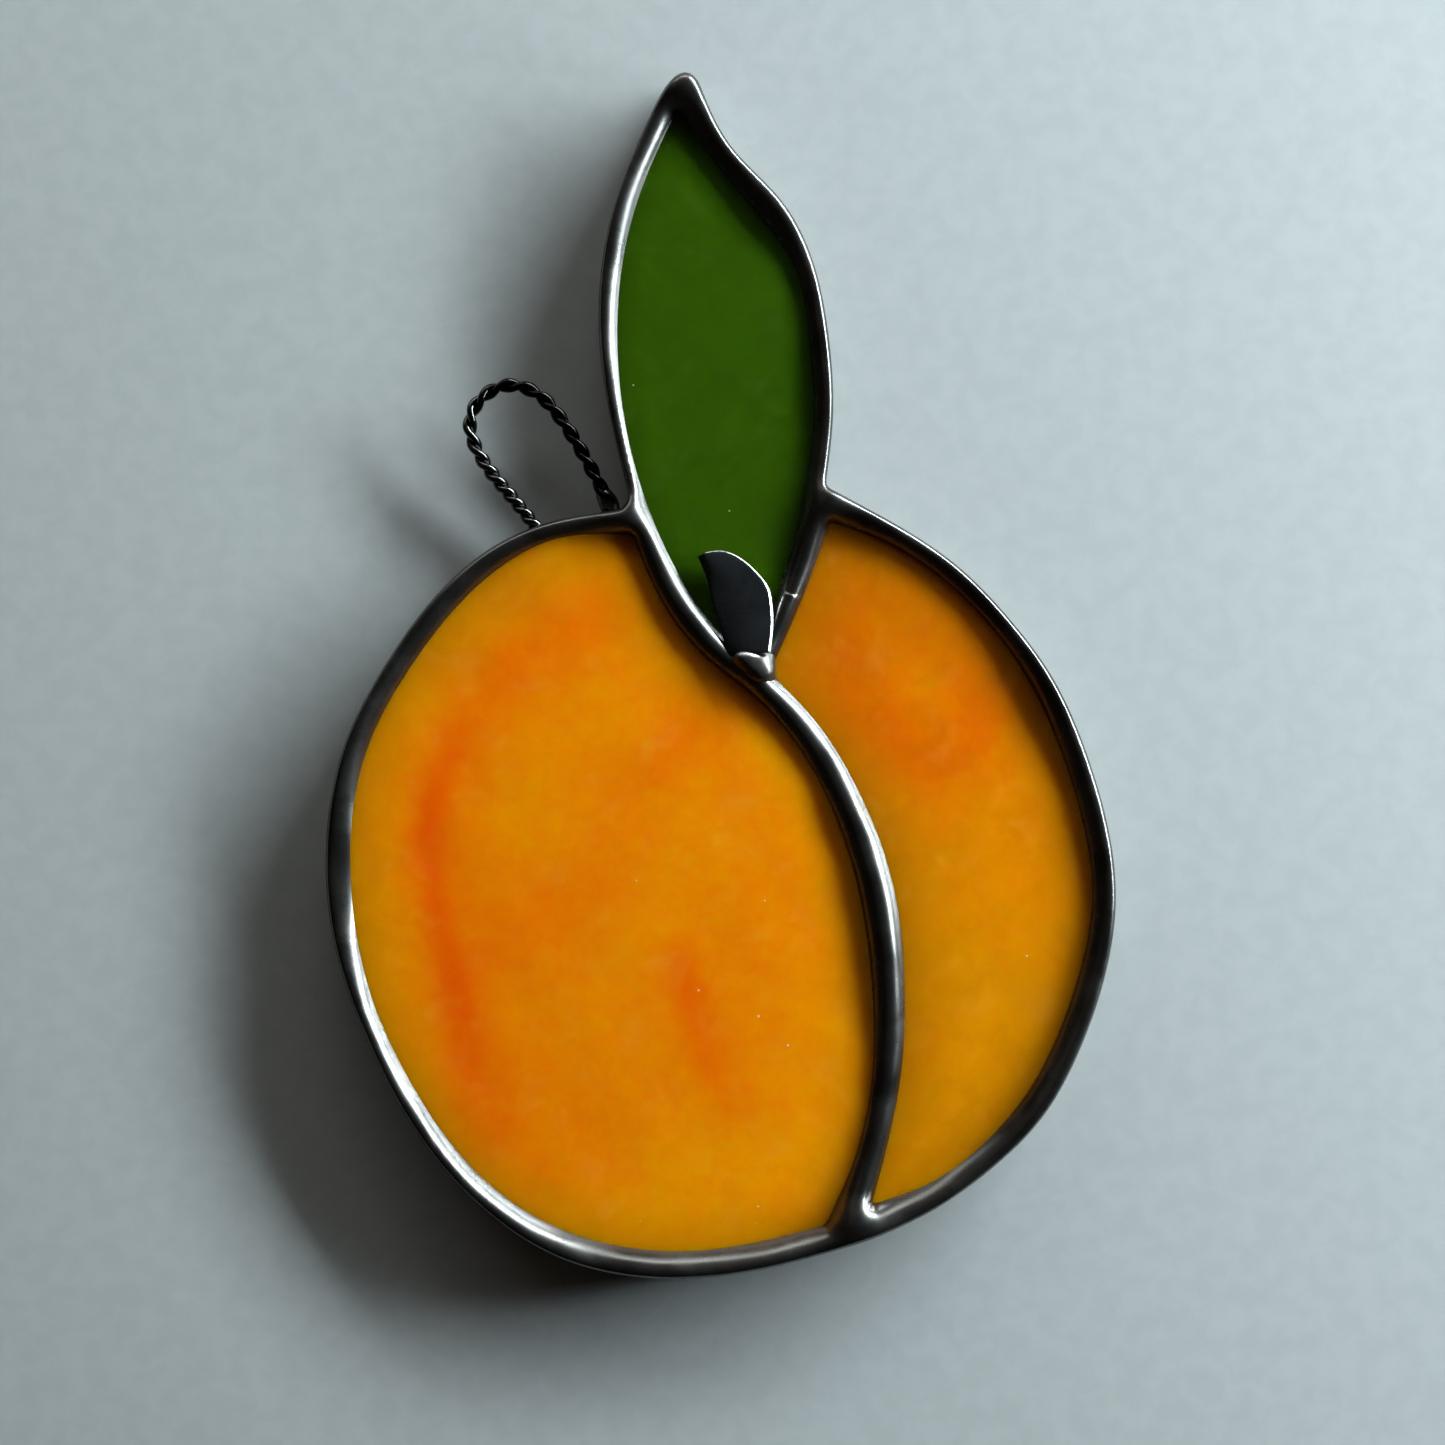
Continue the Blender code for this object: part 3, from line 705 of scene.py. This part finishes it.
def lump(name, middle, facets, material, node_name, power=8, seed=0, bare_edge=()):
    """A closed blob of solder on a grid of latitude and longitude. Its facets are planes, each with an
    azimuth, a tilt from upright and a distance from the middle. The blob's reach in a direction is one
    over a root of the sum of the powers of how far each plane cuts into it, which rounds the planes
    into each other, and more so at a low power. Where the two given planes cut alike, the edge between
    them gets a painted highlight in light grey."""
    around = np.linspace(0, 2 * np.pi, LUMP_SIDES, endpoint=False)
    up = np.linspace(-np.pi / 2, np.pi / 2, LUMP_ROWS + 2)[1:-1]
    up, around = np.meshgrid(up, around, indexing="ij")
    ball = np.stack([np.cos(up) * np.cos(around), np.cos(up) * np.sin(around), np.sin(up)], axis=2)
    ball = np.concatenate([ball.reshape(-1, 3), [(0, 0, -1), (0, 0, 1)]])
    azimuth, tilt, away = np.array(facets).T * np.array([[np.pi / 180], [np.pi / 180], [1]])
    facing = [np.sin(tilt) * np.cos(azimuth), np.sin(tilt) * np.sin(azimuth), np.cos(tilt)]
    cut = np.maximum(ball @ np.array(facing), 0) / away
    reach = 1 / np.sum(cut**power, axis=1) ** (1 / power)
    points = np.array(middle) + ball * (reach * (1 + 0.04 * swell(ball * 3, 4, seed)))[:, None]
    bare = np.zeros(len(points))
    if bare_edge:
        one, other = (cut[:, k] * reach for k in bare_edge)
        bare = np.exp(-(((one - other) / 0.13) ** 2)) * eased(np.minimum(one, other), 0.72, 0.82)
    row, last = np.arange(LUMP_SIDES), (LUMP_ROWS - 1) * LUMP_SIDES
    ahead = np.roll(row, -1)
    lowest, highest = (np.full(LUMP_SIDES, len(points) - k) for k in (2, 1))
    rows = range(0, last, LUMP_SIDES)
    faces = [band(first, first + LUMP_SIDES, LUMP_SIDES) for first in rows]
    faces += [
        np.stack([ahead, row, lowest], axis=1),
        np.stack([last + row, last + ahead, highest], axis=1),
    ]
    made = new_piece(name, points, faces, material, bare=bare)
    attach(made, "root")
    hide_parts(node_name)


# Stem
# A small blade cut from dark sheet metal with snips, a little curled. Its right cut edge, the one that
# faces the light, is painted bright: bare metal and a painted highlight in one, while the left cut
# edge is left dark. Its foot stands in a dab of solder on the seam below the leaf.
STEM_LEFT = ((0.7, 2.1), (0.35, 3.4), (-0.2, 5.5), (-0.95, 7.8), (-1.35, 9.7), (-2.4, 12.35))
STEM_RIGHT = (
    (-1.5, 12.8), (-0.5, 12.95), (0.8, 12.8), (2.6, 11.8), (4.0, 10.45), (5.0, 9.1), (5.35, 7.7),
    (5.5, 5.8), (5.4, 3.9), (5.2, 2.3),
)
STEM_SHEET = 0.4
STEM_FOOT = 5.6
STEM_TIP = 5.2
STEM_TILT = 0.9  # the right edge lies on the seam, and the left edge hangs lower, over the leaf
STEM_CURL = 0.25
CUT_WIDTH = 0.18  # of the bright edge: bare metal and painted highlight
CUT_DROP = 0.2

slate, tree, shader, place = new_material("blackened_sheet")
worn = group_in(tree, tarnish, Broad=4.0, Fine=0.3)
tone = spaced(tree, worn["Broad"], 0.3, 0.7)
colour = blend(tree, tone, (0.03, 0.031, 0.034), (0.05, 0.052, 0.058))
# The bright right cut edge, from the cut attribute: bare metal, painted on the side facing the light
# only, so partly a painted highlight
cut = node(tree, "ShaderNodeAttribute", attribute_name="cut").outputs["Fac"]
ragged = maths(tree, "MULTIPLY_ADD", worn["Fine"], 1.3, maths(tree, "SUBTRACT", cut, 0.65))
bare = spaced(tree, ragged, 0.35, 0.6)
tree.links.new(blend(tree, bare, colour, (0.85, 0.86, 0.84)), shader["Base Color"])
tree.links.new(spaced(tree, bare, 0.0, 1.0, 0.42, 0.35), shader["Roughness"])
dimpled(tree, shader, worn["Fine"], 0.2, 0.1)
shader["Metallic"].default_value = 0.85

left_edge = smooth_through(STEM_LEFT, STEP)
right_edge = smooth_through(STEM_RIGHT, STEP)
blade = evenly_spaced(np.concatenate([left_edge, right_edge, left_edge[:1]]), STEP)[:-1][::-1]
points, faces = field([blade], (0.06, 0.13, 0.24), 0.3)
ring, count = len(blade), len(points)
away = nearest(points, blade)
away[:ring] = 0
from_left, from_right = nearest(points, left_edge), nearest(points, right_edge)
share = (points[:, 1] - 2.0) / 11
across = from_left / (from_left + from_right)
arch = STEM_CURL * (np.sin(np.pi * across) - 0.5) + STEM_TILT * (across - 0.5)
middle = STEM_FOOT + (STEM_TIP - STEM_FOOT) * share + arch * (1 - 0.5 * share)
wide = CUT_WIDTH * (1.15 - 0.75 * eased(points[:, 1], 6.5, 11.5))
# Only the right edge, which faces the light, is painted bright: bare metal and painted highlight
cut = (1 - eased(from_right, wide - 0.03, wide + 0.08)) * (1 - 0.3 * eased(points[:, 1], 7.0, 11.5))
drop = CUT_DROP * (1 - np.minimum(away / CUT_WIDTH, 1)) * (0.25 + 0.75 * cut)
top = middle + STEM_SHEET / 2 - drop
low = middle - STEM_SHEET / 2
solid = np.concatenate([np.column_stack([points, top]), np.column_stack([points, low])])
sheets = [faces, faces[:, ::-1] + count, band(count, 0, ring)]
stem = new_piece("stem_leaf_blade", solid, sheets, slate, sharp=25, cut=np.tile(cut, 2))
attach(stem, "root")
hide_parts("stem_blade")
# The dab's planes: azimuth and tilt in degrees, and distance from its middle
DAB = (
    (0, 0, 1.25), (42, 38, 1.5), (88, 76, 1.9), (5, 80, 2.05), (-50, 60, 1.9), (-95, 58, 1.6),
    (225, 48, 1.2), (180, 78, 2.8), (140, 72, 2.7), (0, 180, 1.3),
)
# The light-grey line along the dab's top edge, between planes 0 and 2, is a painted highlight
lump("stem_solder_dab", (3.6, 0.65, 5.0), DAB, dull_solder, "solder_net", seed=21,
     bare_edge=(0, 2))

# Hanging loop
# Two dark wires twisted into a cord, bent into a loop and soldered to the rim at both ends. The
# right one ends in a small blob of solder where the rim meets the leaf.
LOOP = (
    (-19.6, 15.7, 2.7), (-22.2, 18.9, 3.0), (-24.9, 22.3, 3.5), (-26.4, 26.2, 4.0),
    (-25.3, 28.9, 4.2), (-22.4, 30.4, 4.3), (-19.4, 29.6, 4.0), (-17.0, 27.2, 3.6),
    (-14.4, 23.1, 3.1), (-12.4, 19.3, 2.7), (-11.3, 17.0, 2.5),
)
STRAND = 0.8
STRANDS_APART = 0.76
TWIST = 4.3  # length of one turn round the bend and down the right leg
TIGHT_TWIST = 2.9  # the same at the foot of the left leg
PAINTED_SHEEN = 0.09  # how much lighter the left leg and the bend are painted, a painted sheen where they catch the light; the right leg, in the leaf's shade, gets none
SIDES = 14

dark_wire = dark_metal(
    "darkened_wire", (0.014, 0.013, 0.012), (0.008, 0.008, 0.007), (0.02, 0.014, 0.01),
    0.13, 0.22, 0.08, 1.0,
)


def along(path):
    """For each point of a path: how far along it is, its direction, and two directions square to
    that, the first of them level."""
    run = np.concatenate([[0], np.cumsum(np.linalg.norm(np.diff(path, axis=0), axis=1))])
    ahead = np.gradient(path, axis=0)
    ahead /= np.linalg.norm(ahead, axis=1)[:, None]
    aside = np.cross(ahead, (0, 0, 1))
    aside /= np.linalg.norm(aside, axis=1)[:, None]
    return run, ahead, aside, np.cross(aside, ahead)


def strand(name, phase, seed):
    """A round profile carried along a helix round the loop's middle line, closed at both ends."""
    middle = smooth_through(LOOP, 0.16)
    run, _, aside, above = along(middle)
    length = TIGHT_TWIST + (TWIST - TIGHT_TWIST) * eased(run, 5, 13)
    turn = (phase + np.cumsum(2 * np.pi * np.gradient(run) / length))[:, None]
    path = middle + STRANDS_APART / 2 * (np.cos(turn) * aside + np.sin(turn) * above)
    run, _, aside, above = along(path)
    angle = np.linspace(0, 2 * np.pi, SIDES, endpoint=False)
    thick = STRAND / 2 * (1 + 0.03 * np.sin(run * 1.3 + seed))[:, None, None]
    profile = np.cos(angle)[:, None] * aside[:, None] + np.sin(angle)[:, None] * above[:, None]
    points = (path[:, None] + thick * profile).reshape(-1, 3)
    points = np.concatenate([points, path[:1], path[-1:]])
    row, last = np.arange(SIDES), (len(path) - 1) * SIDES
    ahead = np.roll(row, -1)
    start, end = np.full(SIDES, len(points) - 2), np.full(SIDES, len(points) - 1)
    faces = [band(k * SIDES, (k + 1) * SIDES, SIDES)[:, ::-1] for k in range(len(path) - 1)]
    faces += [
        np.stack([row, ahead, start], axis=1),
        np.stack([last + ahead, last + row, end], axis=1),
    ]
    # Painted sheen: the left leg and the bend get a lighter colour, the right leg, which lies in
    # shade, none
    thin_patina_and_painted_sheen = PAINTED_SHEEN * (1 - eased(run, 18, 23))
    bare = np.concatenate([np.repeat(thin_patina_and_painted_sheen, SIDES), [PAINTED_SHEEN, 0]])
    made = new_piece(name, points, faces, dark_wire, bare=bare)
    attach(made, "root")
    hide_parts(name.replace("twisted", "wire"))


strand("twisted_strand_a", 0, 1)
strand("twisted_strand_b", np.pi, 2)
BLOB = ((0, 0, 1.0), (27, 90, 1.05), (117, 90, 2.0), (207, 90, 1.05), (297, 90, 1.7), (0, 180, 1.2))
lump("wire_solder_blob", (-11.9, 18.2, 2.2), BLOB, black_solder, "solder_net",
     power=2, seed=22)

# Floor, light and camera
# The suncatcher lies on a plain pale surface. A wide, low window at the upper right lights it, and
# a small pane of it stands close by on the right. A farther window, a bright wall and a warm room
# past the leaf's tip add a little, and the camera looks straight down.
FLOOR = 2  # from its middle to its edge, in metres
FLOOR_Z = -2e-5  # just under the solder, so that no two faces lie in one plane
corners = [(-FLOOR, -FLOOR), (FLOOR, -FLOOR), (FLOOR, FLOOR), (-FLOOR, FLOOR)]
floor_mesh = bpy.data.meshes.new("floor")
floor_mesh.from_pydata([(*corner, FLOOR_Z) for corner in corners], [], [(0, 1, 2, 3)])
floor = bpy.data.objects.new("floor", floor_mesh)
bpy.context.scene.collection.objects.link(floor)
stone, tree, shader, place = new_material("pale_floor")
tone = spaced(tree, clouds(tree, place, 2.5, 6.0), 0.3, 0.7)
tree.links.new(blend(tree, tone, (0.425, 0.44, 0.435), (0.455, 0.47, 0.465)), shader["Base Color"])
shader["Roughness"].default_value = 0.9
floor_mesh.materials.append(stone)
floor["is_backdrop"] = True


def soft_light(name, azimuth, elevation, away, width, height, power, colour):
    """A flat lamp that faces the origin from this azimuth, elevation and distance."""
    azimuth, elevation = np.radians(azimuth), np.radians(elevation)
    level = away * np.cos(elevation)
    data = bpy.data.lights.new(name, "AREA")
    data.shape = "RECTANGLE"
    data.size, data.size_y = width, height
    data.energy = power
    data.color = colour
    lamp = bpy.data.objects.new(name, data)
    lamp.location = level * np.cos(azimuth), level * np.sin(azimuth), away * np.sin(elevation)
    lamp.rotation_euler = np.pi / 2 - elevation, 0, np.pi / 2 + azimuth
    bpy.context.scene.collection.objects.link(lamp)


soft_light("window", 34, 16.5, 0.66, 0.7, 0.105, 14.8, (0.86, 1.0, 1.06))
soft_light("window_end", -2, 17, 0.27, 0.05, 0.05, 0.2, (0.86, 1.0, 1.06))
soft_light("far_window", 92, 22, 0.7, 0.28, 0.06, 0.3, (0.95, 1.0, 1.0))
soft_light("bright_wall", 97, 20, 0.8, 1.2, 0.28, 2.2, (0.95, 1.0, 0.98))
soft_light("room", 120, 48, 0.8, 0.9, 0.6, 0.12, (1.0, 0.8, 0.6))

world = bpy.data.worlds.new("room")
world.use_nodes = True
world.node_tree.nodes["Background"].inputs["Color"].default_value = (0.01, 0.0085, 0.007, 1)
bpy.context.scene.world = world

LENS = 70
SENSOR = 36
SEEN = 151.7  # width of the photograph, in millimetres, at SEEN_HEIGHT
SEEN_HEIGHT = GLASS_HIGH + 0.5
LOOKS_AT = (0.2, -5.04)
camera_data = bpy.data.cameras.new("camera")
camera_data.lens = LENS
camera_data.sensor_width = SENSOR
camera = bpy.data.objects.new("camera", camera_data)
camera.location = np.array((*LOOKS_AT, SEEN_HEIGHT + SEEN * LENS / SENSOR)) * MM
bpy.context.scene.collection.objects.link(camera)
bpy.context.scene.camera = camera
bpy.context.scene.view_settings.view_transform = "Standard"

boxes = {"cad": cad_box, "visual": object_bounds()}
boxes = {name: [list(map(float, corner)) for corner in box] for name, box in boxes.items()}
